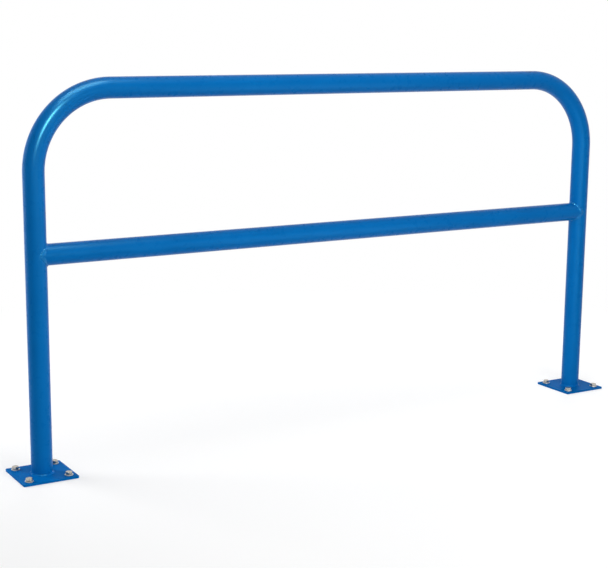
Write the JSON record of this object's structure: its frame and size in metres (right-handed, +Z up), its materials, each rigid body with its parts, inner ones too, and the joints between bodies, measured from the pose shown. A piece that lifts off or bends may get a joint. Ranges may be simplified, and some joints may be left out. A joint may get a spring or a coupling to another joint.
{
  "type": "steel protection hoop",
  "caption": "Blue powder-coated round-tube hoop with large-radius bends and a welded cross rail, on square base plates bolted to the floor.",
  "frame": {"origin": "floor level, midway between the two posts, on the hoop's own middle plane", "axes": "+X along the hoop from the left post to the right post, +Y to the back, +Z up"},
  "size_m": [2.1, 0.16, 1.1],
  "materials": {
    "blue_powder_coat": "smooth glossy powder coat with a faint orange peel",
    "zinc_plated_steel": "zinc plated, slightly dull, warm grey"
  },
  "bodies": {
    "root": {"hoop_tube": "blue_powder_coat", "cross_rail": "blue_powder_coat", "left_base_plate": "blue_powder_coat", "right_base_plate": "blue_powder_coat", "left_foot_weld": "blue_powder_coat", "right_foot_weld": "blue_powder_coat", "left_rail_weld": "blue_powder_coat", "right_rail_weld": "blue_powder_coat", "left_front_outer_bolt": "zinc_plated_steel", "left_front_inner_bolt": "zinc_plated_steel", "left_back_outer_bolt": "zinc_plated_steel", "left_back_inner_bolt": "zinc_plated_steel", "right_front_outer_bolt": "zinc_plated_steel", "right_front_inner_bolt": "zinc_plated_steel", "right_back_outer_bolt": "zinc_plated_steel", "right_back_inner_bolt": "zinc_plated_steel", "left_front_outer_washer": "zinc_plated_steel", "left_front_inner_washer": "zinc_plated_steel", "left_back_outer_washer": "zinc_plated_steel", "left_back_inner_washer": "zinc_plated_steel", "right_front_outer_washer": "zinc_plated_steel", "right_front_inner_washer": "zinc_plated_steel", "right_back_outer_washer": "zinc_plated_steel", "right_back_inner_washer": "zinc_plated_steel"}
  },
  "joints": []
}
